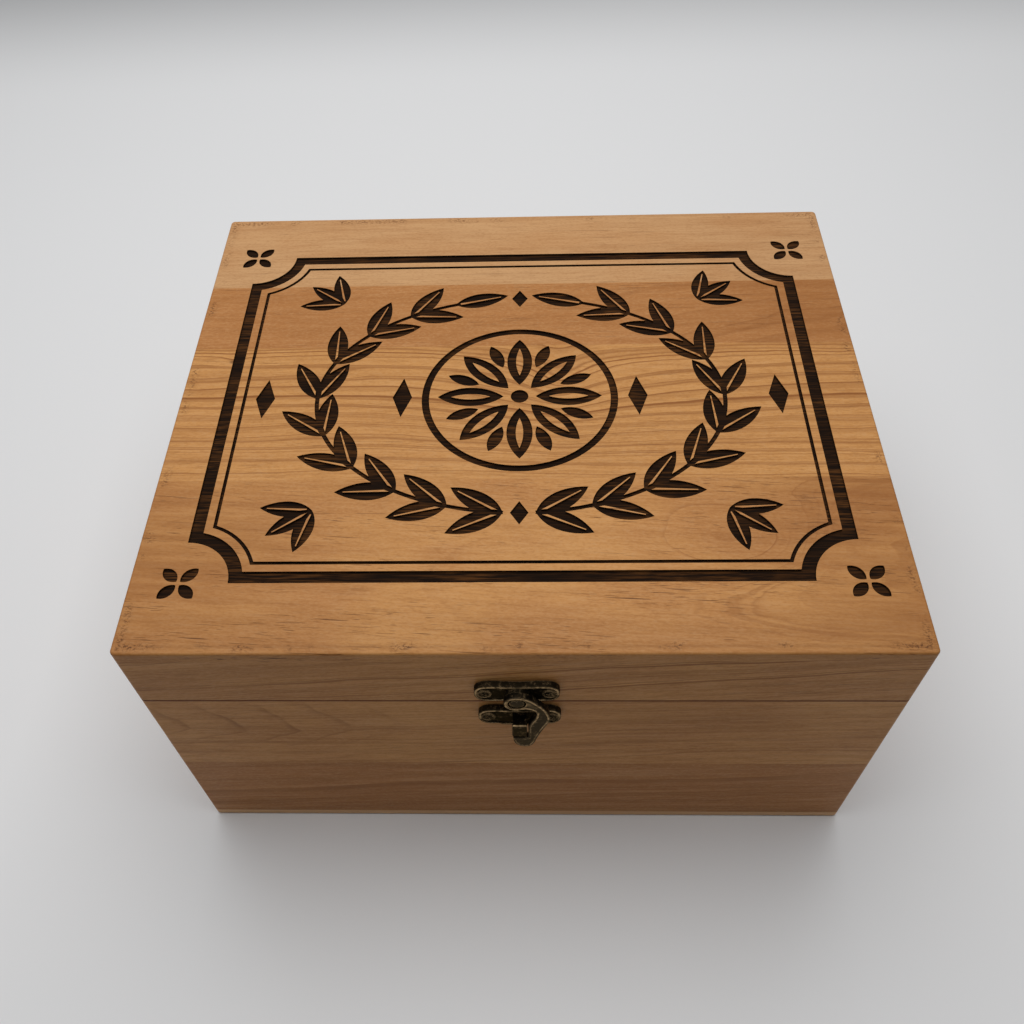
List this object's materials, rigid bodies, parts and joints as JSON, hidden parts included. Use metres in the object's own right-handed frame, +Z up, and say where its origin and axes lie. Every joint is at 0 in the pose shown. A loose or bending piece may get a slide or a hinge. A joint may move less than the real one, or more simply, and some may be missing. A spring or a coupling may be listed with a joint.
{
  "type": "hinged wooden gift box",
  "caption": "Low rectangular wooden keepsake box with a hinged engraved lid, butt hinges at the back and a swinging hook latch at the front.",
  "frame": {"origin": "middle of the carcass's underside, on the surface that the box stands on", "axes": "+X to the right along the width, +Y to the hinged back, +Z up; the latch is on the -Y face"},
  "size_m": [0.28, 0.2535, 0.146],
  "materials": {
    "wood_pale": "satin oiled alder",
    "wood_light": "satin oiled alder",
    "wood_red": "satin oiled alder",
    "antique_bronze": "darkened, brighter on worn edges"
  },
  "bodies": {
    "base": {"base_front_lower_board": "wood_red", "base_front_upper_board": "wood_light", "base_back_lower_board": "wood_red", "base_back_upper_board": "wood_light", "base_left_lower_board": "wood_red", "base_left_upper_board": "wood_light", "base_right_lower_board": "wood_red", "base_right_upper_board": "wood_light", "base_bottom_panel": "wood_pale", "hinge_left_base_leaf": "antique_bronze", "hinge_right_base_leaf": "antique_bronze", "hinge_left_pin": "antique_bronze", "hinge_right_pin": "antique_bronze", "hinge_base_screws": "antique_bronze", "latch_catch_plate": "antique_bronze", "latch_catch_screws": "antique_bronze"},
    "lid": {"lid_front_rail": "wood_light", "lid_back_rail": "wood_light", "lid_left_rail": "wood_light", "lid_right_rail": "wood_light", "lid_top_board_1": "wood_pale", "lid_top_board_2": "wood_red", "lid_top_board_3": "wood_light", "lid_top_board_4": "wood_light", "hinge_left_lid_leaf": "antique_bronze", "hinge_right_lid_leaf": "antique_bronze", "hinge_lid_screws": "antique_bronze", "latch_lid_plate": "antique_bronze", "latch_rivet": "antique_bronze", "latch_lid_screws": "antique_bronze"},
    "hook": {"latch_hook": "antique_bronze"}
  },
  "joints": [
    {"name": "lid_hinge", "type": "hinge", "parent": "base", "child": "lid", "pos_m": [0, 0.1224, 0.112], "axis": [-1, 0, 0], "range_deg": [0, 180]},
    {"name": "hook_swing", "type": "hinge", "parent": "lid", "child": "hook", "pos_m": [-0.001, -0.1255, 0.122], "axis": [0, -1, 0], "range_deg": [0, 290]}
  ]
}
